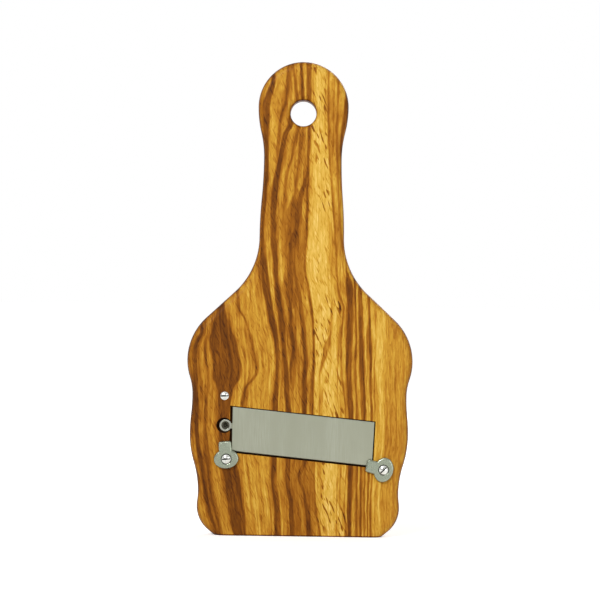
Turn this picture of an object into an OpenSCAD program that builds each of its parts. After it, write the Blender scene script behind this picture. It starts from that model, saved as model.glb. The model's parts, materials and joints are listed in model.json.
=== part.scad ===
// Hand slicer for truffles and hard cheese: an olive-wood board with a tilting steel blade.
// The board stands upright on its sawn end. Its front faces -Y and its handle points up, +Z.
// The origin is the middle of the sawn end, half way through the board's thickness.
// Turning the knob on the back screws the lift collar forward, and the collar lifts the blade.

/* [Board] */
// Length from the sawn end to the top of the handle
board_len = 221; // [200:1:260]
// Thickness of the wood
board_t = 13; // [11:0.5:18]
// Radius of the rounded edge on both faces
edge_r = 3.5; // [1:0.5:4]
// Diameter of the hanging hole
hang_d = 12; // [8:0.5:16]
// Distance from the top of the handle to the middle of the hanging hole
hang_drop = 24; // [18:0.5:30]
// Radius of the rounded rim of the hanging hole
hang_rim_r = 2.5; // [0.5:0.5:4]

/* [Board outline] */
// Radius of the round end of the handle
handle_end_r = 21; // [19:0.5:24]
// Width at the narrow part of the grip
grip_waist_w = 36.2; // [33:0.1:37.5]
// Height of the narrow part of the grip
grip_waist_z = 176; // [170:0.5:178]
// Width at the swell below the grip
grip_swell_w = 39.4; // [38:0.1:44]
// Height of the swell below the grip
grip_swell_z = 139; // [136:0.5:145]
// Radius of the hollow where the grip flares out
flare_in_r = 35; // [30:0.5:40]
// Radius of the shoulder that the flare ends in
flare_out_r = 27; // [22:0.5:30]
// Width of the board at its shoulders
shoulder_w = 105; // [102:0.5:112]
// Height of the shoulders
shoulder_z = 81.5; // [78:0.5:84]
// Width at the waist below the shoulders
side_waist_w = 99.8; // [96:0.1:101]
// Height of the waist below the shoulders
side_waist_z = 65.5; // [62:0.5:68]
// Width at the hips
hip_w = 101.8; // [101.4:0.1:106]
// Height of the hips
hip_z = 47.5; // [44:0.5:50]
// Width at the narrowing above the sawn end
foot_waist_w = 93.4; // [89:0.1:93.8]
// Height of the narrowing above the sawn end
foot_waist_z = 20; // [18:0.5:24]
// Width across the two bottom corners
corner_w = 94.3; // [94.1:0.1:98]
// Radius of the bottom corners
corner_r = 14; // [11:0.5:16]
// Angle through which a bottom corner turns before the saw cut
corner_turn = 50; // [35:1:60]

/* [Blade] */
// Length of the blade, half way up it
blade_len = 65.8; // [60:0.1:72]
// Width of the blade, from its round back edge to its cutting edge
blade_w = 20.6; // [18:0.1:24]
// Thickness of the blade
blade_t = 1.5; // [1.2:0.1:2]
// Angle by which the blade leans down to the right
blade_lean = 5.4; // [0:0.1:9]
// Angle by which the left end is off square
left_rake = 4.9; // [0:0.1:8]
// Angle by which the right end is off square
right_rake = 2.8; // [0:0.1:6]
// Sideways place of the middle of the back edge
blade_x = 0.8; // [-3:0.1:3]
// Height of the middle of the back edge
blade_z = 36.2; // [34:0.1:39]
// Width of the bevel ground on the underside
bevel_w = 4; // [2:0.1:5]
// Width of the fine bevel honed on the face
hone_w = 0.5; // [0.2:0.1:1]
// Thickness left at the cutting edge
edge_t = 0.1; // [0.05:0.01:0.3]
// Depth of the closed blade's face below the wood
blade_sink = 0.2; // [0:0.05:0.4]
// Thickness of the tongue at the left end
tongue_t = 0.6; // [0.4:0.05:0.8]
// Width of the tongue
tongue_w = 2.4; // [1.6:0.1:3]

/* [Recess and slot] */
// Gap under the closed blade
floor_gap = 0.3; // [0.2:0.05:0.6]
// Gap along the cutting edge
top_gap = 0.45; // [0.3:0.05:1]
// Gap along the back edge
bottom_gap = 0.65; // [0.4:0.05:1.2]
// Gap at the left end
left_gap = 1.2; // [0.6:0.1:2]
// Gap at the right end
right_gap = 0.6; // [0.4:0.1:1.5]
// Width of the ledge that lies under the back of the blade
ledge_w = 9; // [7:0.1:11]
// Width of the wood under the left end of the blade
slot_left_in = 6.2; // [5:0.1:10]
// Width of the wood under the right end of the blade
slot_right_in = 5.2; // [4:0.1:10]
// How far the slot runs down on its way to the back face
slot_fall = 4; // [0:0.5:5]

/* [Blade adjuster] */
// Thread diameter of the adjusting screw
thread_d = 5; // [4:0.5:6]
// Thread pitch, and so the lift in one turn of the knob
pitch = 0.8; // [0.5:0.05:1]
// Distance of the screw's axis from the blade's left end
adjust_out = 3.4; // [2.9:0.05:3.6]
// Distance of the screw's axis up the blade from its back edge
adjust_up = 11.7; // [10:0.05:13]
// Diameter of the lift collar
collar_d = 5.5; // [5:0.1:6]
// Thickness of each of the collar's two flanges
flange_t = 0.6; // [0.4:0.05:0.8]
// Diameter of the collar between its flanges
core_d = 3.4; // [3:0.1:3.8]
// Gap between the tongue and each flange
groove_gap = 0.25; // [0.2:0.05:0.35]
// Diameter of the screw's nose inside the collar
nose_d = 2; // [1.6:0.1:2.4]
// Diameter of the riveted end of the nose
rivet_d = 3.8; // [3.2:0.1:4]
// Diameter of the pocket in the wood round the collar
pocket_d = 7.2; // [6.6:0.1:8]
// Distance of the pocket's middle to the left of the screw's axis
pocket_off = 0.6; // [0.1:0.05:0.7]

/* [Bridge] */
// Thickness of the bridge plate
bridge_t = 1.5; // [1:0.1:2.5]
// Width of the bridge plate at its ends
bridge_w = 10; // [8:0.5:12]
// Diameter of the bridge plate round the bush
bridge_eye_d = 15; // [13:0.5:18]
// Distance from the adjusting screw up to the upper screw
bridge_up = 13.7; // [12.5:0.1:18]
// Distance from the adjusting screw down to the left clip's screw
bridge_down = 15.6; // [14.5:0.1:20]
// Angle by which the bridge leans to the left at its top
bridge_lean = 2.3; // [0:0.1:6]
// Outside diameter of the bush's barrel
bush_d = 8; // [7:0.5:9]
// Length of the bush's barrel
bush_len = 4; // [3:0.5:5]
// Diameter of the bush's flange
bush_flange_d = 11; // [10:0.5:12]
// Thickness of the bush's flange
bush_flange_t = 1; // [0.8:0.1:1.5]

/* [Knob] */
// Diameter of the knob
knob_d = 15; // [12:0.5:16]
// Length of the fluted part of the knob
knob_len = 7; // [5:0.5:10]
// Diameter of the knob's neck
neck_d = 9; // [7:0.5:10]
// Length of the knob's neck
neck_len = 1.5; // [1:0.1:3]
// Number of flutes
flutes = 24; // [12:1:30]
// Radius of each flute
flute_r = 0.8; // [0.5:0.05:0.9]
// Depth of the dished end
dish_h = 0.8; // [0.3:0.1:1.5]
// Diameter of the screw's tail inside the knob
tail_d = 4; // [3:0.1:4.5]

/* [Clips] */
// Width across the oval head of a clip
clip_head_w = 11.6; // [10:0.1:13]
// Height of the oval head of a clip
clip_head_h = 9; // [8.5:0.1:11]
// Width of a clip's tab where it leaves the head
clip_tab_w = 6.2; // [5:0.1:7]
// Width of a clip's tab at its tip
clip_tip_w = 6; // [4:0.1:6.5]
// Distance from the screw to the tip of the tab
clip_reach = 8.3; // [7:0.1:9]
// Corner radius of the tab's tip
clip_tip_r = 1.1; // [1:0.05:1.6]
// Thickness of a clip
clip_t = 1.6; // [1.2:0.1:2]
// Radius of the rounded edge on a clip's face
clip_edge_r = 0.8; // [0.3:0.1:0.9]
// Gap between a clip and the wood
clip_gap = 0.2; // [0.15:0.05:0.4]
// Angle of the left clip from upright, to the left
left_clip_turn = 6; // [-20:1:30]
// Angle of the right clip from upright, to the left
right_clip_turn = 75.3; // [60:0.1:100]
// Distance of the right clip's screw from the blade's right end
right_clip_out = 6.1; // [6:0.1:9]
// Distance of the right clip's screw below the blade's back edge
right_clip_down = 0.9; // [0:0.1:3]

/* [Fasteners] */
// Shank diameter of the clip screws
clip_screw_d = 2.5; // [2:0.1:3]
// Head diameter of the clip screws
clip_head_d = 4.2; // [4:0.1:4.6]
// Diameter of the countersink in a clip
clip_sink_d = 5.2; // [5:0.1:5.6]
// Shank diameter of the upper bridge screw
bridge_screw_d = 2; // [1.6:0.1:2.5]
// Head diameter of the upper bridge screw
bridge_head_d = 3.9; // [3.4:0.1:4.4]
// Height of the screw heads' domes
dome_h = 0.7; // [0.4:0.05:1]
// Width of the screwdriver slots
driver_w = 0.6; // [0.4:0.05:0.8]
// Depth of the screwdriver slots
driver_h = 0.6; // [0.3:0.05:0.8]
// Width across the flats of the clip screws' nuts
clip_nut_w = 5; // [4.5:0.1:5.5]
// Height of the clip screws' nuts
clip_nut_h = 2; // [1.5:0.1:2.5]
// Width across the flats of the upper bridge screw's nut
bridge_nut_w = 4; // [3.6:0.1:4.5]
// Height of the upper bridge screw's nut
bridge_nut_h = 1.6; // [1.2:0.1:2]
// Diameter of the washer under the right clip's nut
washer_d = 6.4; // [6:0.1:7]
// Thickness of the washer
washer_t = 0.5; // [0.3:0.1:0.8]
// Depth of the hole in the back for the right clip's nut
nut_well_h = 3.2; // [2.9:0.1:5]

/* [Fits] */
// Gap between pieces that move past each other
move_gap = 0.3; // [0.25:0.05:0.5]
// Radial clearance of a shaft that turns in its hole
run_gap = 0.07; // [0.03:0.01:0.1]
// Radial clearance of a screw in its nut and of a barrel in its plate
seat_gap = 0.04; // [0.02:0.01:0.1]
// Radial clearance of a fixed screw in the wood
wood_gap = 0.1; // [0.05:0.05:0.3]

/* [Hidden] */
$fn = 64;
// Cuts run this far past the surface they open
past = 1;

// Depths along Y, from the front face to the back one
front_y = -board_t / 2;
back_y = board_t / 2;
blade_y = front_y + blade_sink;
blade_back_y = blade_y + blade_t;
floor_y = blade_back_y + floor_gap;
groove_front_y = blade_back_y - tongue_t - groove_gap;
groove_back_y = blade_back_y + groove_gap;
collar_front_y = groove_front_y - flange_t;
collar_back_y = groove_back_y + flange_t;
pocket_floor_y = collar_back_y + move_gap;
bridge_back_y = back_y + bridge_t;
bush_back_y = bridge_back_y + bush_flange_t;
bush_front_y = bridge_back_y - bush_len;
neck_y = bush_back_y + pitch + move_gap;
knob_y = neck_y + neck_len;
knob_end_y = knob_y + knob_len;
clip_back_y = front_y - clip_gap;
clip_front_y = clip_back_y - clip_t;
nut_well_y = back_y - nut_well_h;

// Radii of what turns and of the holes it turns in
shank_r = clip_screw_d / 2;
clip_bore_r = shank_r + run_gap;
bridge_shank_r = bridge_screw_d / 2;
thread_r = thread_d / 2;
bush_bore_r = thread_r + run_gap;
nose_r = nose_d / 2;
collar_bore_r = nose_r + run_gap;
tail_r = tail_d / 2;

// Places on the board's face as [x, z], from places along and up the blade
function on_face(u, v) = [
    blade_x + u * cos(blade_lean) + v * sin(blade_lean),
    blade_z - u * sin(blade_lean) + v * cos(blade_lean)
];
// Place on the bridge's middle line, a distance up from the adjusting screw
function on_bridge(up) = adjust + up * [-sin(bridge_lean), cos(bridge_lean)];

adjust = on_face(-blade_len / 2 - adjust_out, adjust_up);
upper_screw = on_bridge(bridge_up);
left_pivot = on_bridge(-bridge_down);
right_pivot = on_face(blade_len / 2 + right_clip_out, -right_clip_down);

// Ends of the blade, as places along it, at a height up it
function left_end(v) = -blade_len / 2 - (v - blade_w / 2) * tan(left_rake);
function right_end(v) = blade_len / 2 - (v - blade_w / 2) * tan(right_rake);

// The board's outline is drawn in steps of about this length, and starts this angle off the top
step_len = 3.4;
top_half = 4;
// Number of steps in which a rounded edge is drawn
edge_parts = 4;
// The outline runs on this far below the saw cut
below_cut = 10;

// Turning places of the board's right side, where it runs straight up and down: [half width, height]
handle_mid = [0, board_len - handle_end_r];
grip_waist = [grip_waist_w / 2, grip_waist_z];
grip_swell = [grip_swell_w / 2, grip_swell_z];
shoulder = [shoulder_w / 2, shoulder_z];
side_waist = [side_waist_w / 2, side_waist_z];
hip = [hip_w / 2, hip_z];
foot_waist = [foot_waist_w / 2, foot_waist_z];
corner_mid = [corner_w / 2 - corner_r, corner_r - 0.5];

// An arc of the side is [middle, radius, first angle, sweep, hollow or not]; share 0 is its upper end
function point_on(arc, share) =
    let (angle = arc[2] + arc[3] * (arc[4] ? share : 1 - share)) arc[0] + arc[1] * [cos(angle), sin(angle)];

// Two equal arcs that join one turning place to the next one down
function wave(a, b) =
    let (out = b.x - a.x, fall = a.y - b.y, r = (out * out + fall * fall) / (4 * abs(out)), turn = asin(fall / 2 / r))
    out < 0
        ? [[a - [r, 0], r, -turn, turn, false], [b + [r, 0], r, 180 - turn, turn, true]]
        : [[a + [r, 0], r, 180, turn, true], [b - [r, 0], r, 0, turn, false]];

// The flare: a hollow arc and a round one with a straight stretch between them
flare_way = shoulder - [flare_out_r, 0] - grip_swell - [flare_in_r, 0];
flare_sum = flare_in_r + flare_out_r;
flare_turn = atan2(flare_way.y, flare_way.x) + 90 + asin(flare_sum / norm(flare_way));

corner_arc = [corner_mid, corner_r, -corner_turn, corner_turn, false];
upper_arcs = concat(
    [[handle_mid, handle_end_r, 0, 90 - top_half, false]],
    wave(handle_mid + [handle_end_r, 0], grip_waist),
    wave(grip_waist, grip_swell),
    [[grip_swell + [flare_in_r, 0], flare_in_r, 180, flare_turn, true]]
);
lower_arcs = concat(
    [[shoulder - [flare_out_r, 0], flare_out_r, 0, flare_turn, false]],
    wave(shoulder, side_waist),
    wave(side_waist, hip),
    wave(hip, foot_waist),
    wave(foot_waist, corner_mid + [corner_r, 0]),
    [corner_arc]
);

// Points from the upper end of the first arc to the lower end of the last one
function run_down(arcs) = concat(
    [for (arc = arcs) let (parts = ceil(arc[1] * arc[3] * PI / 180 / step_len))
        for (i = [0 : parts - 1]) point_on(arc, i / parts)],
    [point_on(arcs[len(arcs) - 1], 1)]
);
// A side from the top down, and then its mirror image from the bottom up
function both_sides(side) = concat(side, [for (i = [len(side) - 1 : -1 : 0]) [-side[i].x, side[i].y]]);

corner_end = point_on(corner_arc, 1);
board_outline = both_sides(concat(
    run_down(upper_arcs), run_down(lower_arcs),
    [corner_end - (corner_end.y + below_cut) * [tan(corner_turn), 1]]
));

// A clip's outline about its screw, tab up, clockwise from the tip
head_a = clip_head_w / 2;
head_b = clip_head_h / 2;
neck_angle = acos(clip_tab_w / clip_head_w);
tip_corner = [clip_tip_w / 2 - clip_tip_r, clip_reach - clip_tip_r];
clip_outline = both_sides(concat(
    [for (a = [90 : -15 : 0]) tip_corner + clip_tip_r * [cos(a), sin(a)]],
    [for (i = [0 : 20]) let (a = neck_angle - i * (neck_angle + 90) / 20.5) [head_a * cos(a), head_b * sin(a)]]
));

// Unit normal of a clockwise outline at a point, pointing out
function outward(line, i) =
    let (n = len(line), d = line[(i + 1) % n] - line[(i + n - 1) % n]) [-d.y, d.x] / norm(d);
// One ring of a rounded slab: the outline drawn in by a distance, at a depth
function ring(line, inset, y) = [for (i = [0 : len(line) - 1])
    let (p = line[i] - inset * outward(line, i)) [p.x, y, p.y]];
// Rings from the face towards the side of a slab with a rounded edge
function edge_rings(line, r, y_face, way) = [for (k = [0 : edge_parts])
    let (a = 90 * k / edge_parts) ring(line, r * (1 - sin(a)), y_face + way * r * (1 - cos(a)))];

// A closed solid through rings from front to back, each clockwise and the same on both sides of X = 0
module loft(rings) {
    n = len(rings[0]);
    last = len(rings) - 1;
    sides = [for (k = [0 : last - 1]) for (i = [0 : n - 1]) let (j = (i + 1) % n)
        each [[k * n + i, (k + 1) * n + j, k * n + j], [k * n + i, (k + 1) * n + i, (k + 1) * n + j]]];
    front = [for (i = [0 : n / 2 - 2]) [i, i + 1, n - 2 - i, n - 1 - i]];
    back = [for (face = front) [for (k = [3 : -1 : 0]) last * n + face[k]]];
    polyhedron([for (r = rings) each r], concat(front, sides, back), 10);
}

// Round bar along Y through a place on the face
module rod(place, y0, y1, r) {
    translate([place.x, y0, place.y]) rotate([-90, 0, 0]) cylinder(h = y1 - y0, r = r);
}

// Cone along Y
module taper(place, y0, y1, r0, r1) {
    translate([place.x, y0, place.y]) rotate([-90, 0, 0]) cylinder(h = y1 - y0, r1 = r0, r2 = r1);
}

// Flat shape drawn on the face and given a depth range
module slab(y0, y1) {
    translate([0, y1, 0]) rotate([90, 0, 0]) linear_extrude(y1 - y0) children();
}

// Frame of the blade: X along it, Z up it to the cutting edge
module along_blade() {
    translate([blade_x, 0, blade_z]) rotate([0, blade_lean, 0]) children();
}

// Section drawn as [y, height up the blade] and run along the blade
module run_along(u0, u1) {
    translate([u0, 0, 0]) rotate([90, 0, 90]) linear_extrude(u1 - u0) children();
}

// Blade outline grown by the gaps of its recess
module recess_plan() {
    low = -bottom_gap;
    high = blade_w + top_gap;
    polygon([
        [left_end(low) - left_gap, low], [right_end(low) + right_gap, low],
        [right_end(high) + right_gap, high], [left_end(high) - left_gap, high]
    ]);
}

// Section of the slot that slices fall through to the back
module slot_section() {
    high = blade_w + top_gap;
    polygon([
        [floor_y - past, ledge_w], [floor_y, ledge_w], [back_y + past, ledge_w - slot_fall],
        [back_y + past, high - slot_fall], [floor_y, high], [floor_y - past, high]
    ]);
}

// Ring that is cut away to round the rim of a hole, at the face z = 0 and above
module rim_cutter(hole_r, rim_r) {
    rotate_extrude() difference() {
        translate([0, -rim_r]) square([hole_r + rim_r, rim_r + past]);
        translate([hole_r + rim_r, -rim_r]) circle(rim_r);
    }
}

module hanging_hole() {
    place = [0, board_len - hang_drop];
    rod(place, front_y - past, back_y + past, hang_d / 2);
    translate([place.x, front_y, place.y]) rotate([90, 0, 0]) rim_cutter(hang_d / 2, hang_rim_r);
    translate([place.x, back_y, place.y]) rotate([-90, 0, 0]) rim_cutter(hang_d / 2, hang_rim_r);
}

module adjuster_holes() {
    rod(adjust - [pocket_off, 0], front_y - past, pocket_floor_y, pocket_d / 2);
    rod(adjust, pocket_floor_y - past, back_y + past, thread_r + move_gap);
    rod(adjust, bush_front_y - move_gap, back_y + past, bush_d / 2 + move_gap);
}

module fastener_holes() {
    sink_r = bridge_head_d / 2 + wood_gap;
    hole_r = bridge_shank_r + wood_gap;
    rod(upper_screw, front_y - past, back_y + past, hole_r);
    rod(upper_screw, front_y - past, front_y, sink_r);
    taper(upper_screw, front_y, front_y + sink_r - hole_r, sink_r, hole_r);
    rod(left_pivot, front_y - past, back_y + past, shank_r + wood_gap);
    rod(right_pivot, front_y - past, back_y + past, shank_r + wood_gap);
    rod(right_pivot, nut_well_y, back_y + past, washer_d / 2 + move_gap);
}

// The board before anything is cut into it
module blank() {
    back_rings = edge_rings(board_outline, edge_r, back_y, -1);
    loft(concat(
        edge_rings(board_outline, edge_r, front_y, 1),
        [for (k = [edge_parts : -1 : 0]) back_rings[k]]
    ));
}

module board() {
    color("#c98d35") difference() {
        blank();
        translate([-shoulder_w, -board_t, -2 * below_cut]) cube([2 * shoulder_w, 2 * board_t, 2 * below_cut]);
        hanging_hole();
        along_blade() slab(front_y - past, floor_y) recess_plan();
        along_blade() run_along(left_end(blade_w / 2) + slot_left_in, right_end(blade_w / 2) - slot_right_in)
            slot_section();
        adjuster_holes();
        fastener_holes();
    }
}

// Section of the blade as [y, height]: round back, bevel under the cutting edge
module blade_section() {
    translate([blade_y + blade_t / 2, blade_t / 2]) circle(d = blade_t);
    polygon([
        [blade_y, blade_t / 2], [blade_back_y, blade_t / 2], [blade_back_y, blade_w - bevel_w],
        [blade_y + 2 * edge_t, blade_w], [blade_y + edge_t, blade_w], [blade_y, blade_w - hone_w]
    ]);
}

module blade() {
    tip = -blade_len / 2 - adjust_out + core_d / 2 + move_gap;
    root = left_end(adjust_up) + past;
    color("#a9ab98") along_blade() {
        intersection() {
            run_along(-blade_len, blade_len) blade_section();
            slab(blade_y - past, blade_back_y + past) polygon([
                [left_end(-past), -past], [right_end(-past), -past],
                [right_end(blade_w + past), blade_w + past], [left_end(blade_w + past), blade_w + past]
            ]);
        }
        translate([tip, blade_back_y - tongue_t, adjust_up - tongue_w / 2])
            cube([root - tip, tongue_t, tongue_w]);
    }
}

// A clip about its own screw, tab up
module clip() {
    mid_r = clip_sink_d / 2;
    sink_h = mid_r - clip_bore_r;
    difference() {
        loft(concat(
            edge_rings(clip_outline, clip_edge_r, clip_front_y, 1),
            [ring(clip_outline, 0, clip_back_y)]
        ));
        rod([0, 0], clip_front_y - past, clip_back_y + past, clip_bore_r);
        taper([0, 0], clip_front_y, clip_front_y + sink_h, mid_r, clip_bore_r);
        rod([0, 0], clip_front_y - past, clip_front_y, mid_r);
    }
}

module left_clip() {
    color("#b5b9af") translate([left_pivot.x, 0, left_pivot.y]) rotate([0, -left_clip_turn, 0]) clip();
}

module right_clip() {
    color("#b5b9af") translate([right_pivot.x, 0, right_pivot.y]) rotate([0, -right_clip_turn, 0]) clip();
}

// Screw along Y with a domed head over a cone; rim_y is where dome and cone meet
module domed_screw(place, rim_y, end_y, head_r, shank_r, slot_turn) {
    dome_r = (head_r * head_r + dome_h * dome_h) / (2 * dome_h);
    cone_h = head_r - shank_r;
    translate([place.x, rim_y, place.y]) rotate([90, 0, 0]) difference() {
        union() {
            intersection() {
                translate([0, 0, dome_h - dome_r]) sphere(dome_r);
                cylinder(h = dome_r, r = head_r);
            }
            translate([0, 0, -cone_h]) cylinder(h = cone_h, r1 = shank_r, r2 = head_r);
            translate([0, 0, rim_y - end_y]) cylinder(h = end_y - rim_y - cone_h / 2, r = shank_r);
        }
        rotate(slot_turn) translate([-head_r, -driver_w / 2, dome_h - driver_h])
            cube([2 * head_r, driver_w, driver_h + past]);
    }
}

// Hexagon nut with chamfered corners on both sides
module nut(place, y, width, height, hole_r) {
    corner_r = width / 2 / cos(30);
    rise = (corner_r - width / 2) * 0.6;
    color("#b9bab2") translate([place.x, y, place.y]) rotate([-90, 0, 0]) difference() {
        intersection() {
            cylinder(h = height, r = corner_r, $fn = 6);
            rotate_extrude() polygon([
                [0, 0], [width / 2, 0], [corner_r, rise], [corner_r, height - rise], [width / 2, height], [0, height]
            ]);
        }
        translate([0, 0, -past]) cylinder(h = height + 2 * past, r = hole_r);
    }
}

module left_clip_screw() {
    color("#d0d1cb")
        domed_screw(left_pivot, clip_front_y, bridge_back_y + clip_nut_h + 0.5, clip_head_d / 2, shank_r, 6);
}

module right_clip_screw() {
    color("#d0d1cb")
        domed_screw(right_pivot, clip_front_y, nut_well_y + washer_t + clip_nut_h + 0.4, clip_head_d / 2, shank_r, 45);
}

module bridge_screw() {
    color("#d0d1cb")
        domed_screw(upper_screw, front_y, bridge_back_y + bridge_nut_h + 0.4, bridge_head_d / 2, bridge_shank_r, 0);
}

module left_clip_nut() {
    nut(left_pivot, bridge_back_y, clip_nut_w, clip_nut_h, shank_r + seat_gap);
}

module right_clip_nut() {
    nut(right_pivot, nut_well_y + washer_t, clip_nut_w, clip_nut_h, shank_r + seat_gap);
}

module bridge_nut() {
    nut(upper_screw, bridge_back_y, bridge_nut_w, bridge_nut_h, bridge_shank_r + seat_gap);
}

module right_clip_washer() {
    color("#c4c5bd") difference() {
        rod(right_pivot, nut_well_y, nut_well_y + washer_t, washer_d / 2);
        rod(right_pivot, nut_well_y - past, nut_well_y + washer_t + past, shank_r + wood_gap);
    }
}

// Strip across the adjusting screw, fixed by the upper screw and the left clip's screw
module bridge_plate() {
    color("#aeb0a8") difference() {
        slab(back_y, bridge_back_y) union() {
            translate(adjust) rotate(bridge_lean) translate([-bridge_w / 2, -bridge_down])
                square([bridge_w, bridge_up + bridge_down]);
            translate(upper_screw) circle(d = bridge_w);
            translate(left_pivot) circle(d = bridge_w);
            translate(adjust) circle(d = bridge_eye_d);
        }
        rod(adjust, back_y - past, bridge_back_y + past, bush_d / 2 + seat_gap);
        rod(upper_screw, back_y - past, bridge_back_y + past, bridge_shank_r + wood_gap);
        rod(left_pivot, back_y - past, bridge_back_y + past, shank_r + wood_gap);
    }
}

module threaded_bush() {
    color("#b08d46") difference() {
        union() {
            rod(adjust, bush_front_y, bridge_back_y, bush_d / 2);
            rod(adjust, bridge_back_y, bush_back_y, bush_flange_d / 2);
        }
        rod(adjust, bush_front_y - past, bush_back_y + past, bush_bore_r);
    }
}

// Grooved collar on the screw's nose, whose groove holds the blade's tongue
module lift_collar() {
    sink_h = (rivet_d - nose_d) / 2 * 0.7;
    color("#9c9d97") difference() {
        union() {
            rod(adjust, collar_front_y, groove_front_y, collar_d / 2);
            rod(adjust, groove_front_y, groove_back_y, core_d / 2);
            rod(adjust, groove_back_y, collar_back_y, collar_d / 2);
        }
        rod(adjust, collar_front_y - past, collar_back_y + past, collar_bore_r);
        taper(adjust, collar_front_y, collar_front_y + sink_h, rivet_d / 2 + run_gap, collar_bore_r);
    }
}

module adjusting_screw() {
    sink_h = (rivet_d - nose_d) / 2 * 0.7;
    shoulder_y = collar_back_y + run_gap;
    color("#a7a8a2") difference() {
        union() {
            taper(adjust, collar_front_y, collar_front_y + sink_h, rivet_d / 2, nose_r);
            rod(adjust, collar_front_y, shoulder_y, nose_r);
            rod(adjust, shoulder_y, neck_y, thread_r);
            rod(adjust, neck_y, knob_end_y - dish_h, tail_r);
        }
        taper(adjust, collar_front_y, collar_front_y + 2 * sink_h, rivet_d / 2 - 0.2, 0.2);
    }
}

module knob() {
    r = knob_d / 2;
    edge = 0.6;
    color("#b4b5ae") difference() {
        translate([adjust.x, neck_y, adjust.y]) rotate([-90, 0, 0]) rotate_extrude() polygon([
            [tail_r, 0], [neck_d / 2, 0], [neck_d / 2, neck_len], [r - edge, neck_len], [r, neck_len + edge],
            [r, neck_len + knob_len - edge], [r - edge, neck_len + knob_len],
            [r - 3 * edge, neck_len + knob_len], [r - 4 * edge, neck_len + knob_len - dish_h],
            [tail_r, neck_len + knob_len - dish_h]
        ]);
        for (i = [0 : flutes - 1])
            rod(adjust + (r + flute_r / 2) * [cos(i * 360 / flutes), sin(i * 360 / flutes)],
                knob_y - past, knob_end_y + past, flute_r, $fn = 24);
    }
}

board();
blade();
left_clip();
right_clip();
left_clip_screw();
right_clip_screw();
left_clip_nut();
right_clip_nut();
right_clip_washer();
bridge_screw();
bridge_nut();
bridge_plate();
threaded_bush();
lift_collar();
adjusting_screw();
knob();
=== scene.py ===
# %% [markdown]
# Lesson: dressing a wooden truffle slicer
#
# The slicer is an olive-wood paddle with a steel blade let into its front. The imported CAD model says
# where everything is and how it moves. This notebook models each visible piece again, with rounded
# edges and real finishes, and lets it ride on the CAD body that carries it.
#
# Everything lies in the CAD frame: +Z up the board, -Y out of the front face. Sizes are written in
# millimetres, and the helpers turn them into Blender's metres.

# %% Load the frame
import bpy
import json
from math import acos, asin, atan2, ceil, cos, pi, radians, sin, sqrt, tan
from mathutils import Matrix, Vector


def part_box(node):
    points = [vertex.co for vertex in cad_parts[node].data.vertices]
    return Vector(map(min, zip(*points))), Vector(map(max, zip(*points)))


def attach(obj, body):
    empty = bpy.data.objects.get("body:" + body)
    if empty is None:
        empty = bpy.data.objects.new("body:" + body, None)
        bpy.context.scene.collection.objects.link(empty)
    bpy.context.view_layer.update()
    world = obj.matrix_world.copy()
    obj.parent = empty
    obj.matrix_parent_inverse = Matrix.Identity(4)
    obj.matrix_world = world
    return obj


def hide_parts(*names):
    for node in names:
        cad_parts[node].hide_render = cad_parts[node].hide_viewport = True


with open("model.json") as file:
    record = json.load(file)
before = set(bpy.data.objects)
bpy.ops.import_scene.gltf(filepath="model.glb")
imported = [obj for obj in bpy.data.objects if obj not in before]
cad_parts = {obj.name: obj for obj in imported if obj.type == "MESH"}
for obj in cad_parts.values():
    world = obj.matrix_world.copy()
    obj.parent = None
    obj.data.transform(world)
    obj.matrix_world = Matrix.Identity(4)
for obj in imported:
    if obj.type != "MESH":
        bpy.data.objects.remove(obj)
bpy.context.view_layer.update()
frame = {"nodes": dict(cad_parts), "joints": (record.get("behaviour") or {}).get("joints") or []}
MM = 0.001
print("nodes:", sorted(frame["nodes"]))

# %% [markdown]
# Camera
#
# The photo looks straight at the front face from a little over a metre away, and the board leans
# less than a degree to the right in it. So the camera is level with the middle of the picture and
# is rolled by that angle. The lens follows from the width of the view at the board.

# %% Camera
view_width = 280.4 * MM
view_distance = 1.2
view_centre = (-0.4 * MM, 110.0 * MM)
board_lean = radians(0.83)

bpy.ops.object.camera_add(
    location=(view_centre[0], -view_distance, view_centre[1]),
    rotation=(radians(90), -board_lean, 0),
)
camera = bpy.context.object
camera.data.sensor_width = 36
camera.data.lens = camera.data.sensor_width * view_distance / view_width
bpy.context.scene.camera = camera
print("lens", round(camera.data.lens, 1), "mm")

# %% [markdown]
# Nodes and colours
#
# Colours are written as sRGB hex values, as a colour picker shows them, and one function turns them
# into the linear values that a shader takes. One more function adds a shader node, sets what it is
# told to, and links the inputs that are given as sockets.


# %% Colour and node helpers
def linear(hex_colour):
    """Linear RGBA of an sRGB hex colour."""
    channels = [int(hex_colour[i:i + 2], 16) / 255 for i in (1, 3, 5)]
    return tuple(c / 12.92 if c <= 0.04045 else ((c + 0.055) / 1.055) ** 2.4 for c in channels) + (1,)


def add_node(tree, kind, inputs=None, **settings):
    """A shader node with its settings, and its inputs set or linked."""
    node = tree.nodes.new("ShaderNode" + kind)
    for name, value in settings.items():
        setattr(node, name, value)
    for key, value in (inputs or {}).items():
        if isinstance(value, bpy.types.NodeSocket):
            tree.links.new(value, node.inputs[key])
        else:
            node.inputs[key].default_value = value
    return node


def new_material(name):
    """An empty material: its tree, and its output node."""
    material = bpy.data.materials.new(name)
    material.use_nodes = True
    material.node_tree.nodes.clear()
    return material, material.node_tree, add_node(material.node_tree, "OutputMaterial")


# %% [markdown]
# Stage
#
# A product photo like this one has a white sweep and large soft lamps. The floor is white paper. For
# the camera and for reflections it glows a little, so that it reaches white where it is lit and still
# shows the board's shadow. The world is white for the same rays and gives a weaker light to the rest.
# Only the side that the camera stands on is dimmer in reflections, as a real studio is behind the
# lamps. Flat metal that faces the camera mirrors that side, and its rounded edges mirror the white.

# %% Floor and world
# Glow of the floor beside the board and far from it, where the lamps' light has faded
near_glow, far_glow = 0.5, 0.8
world_light = 0.26
camera_side = 0.5


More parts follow.
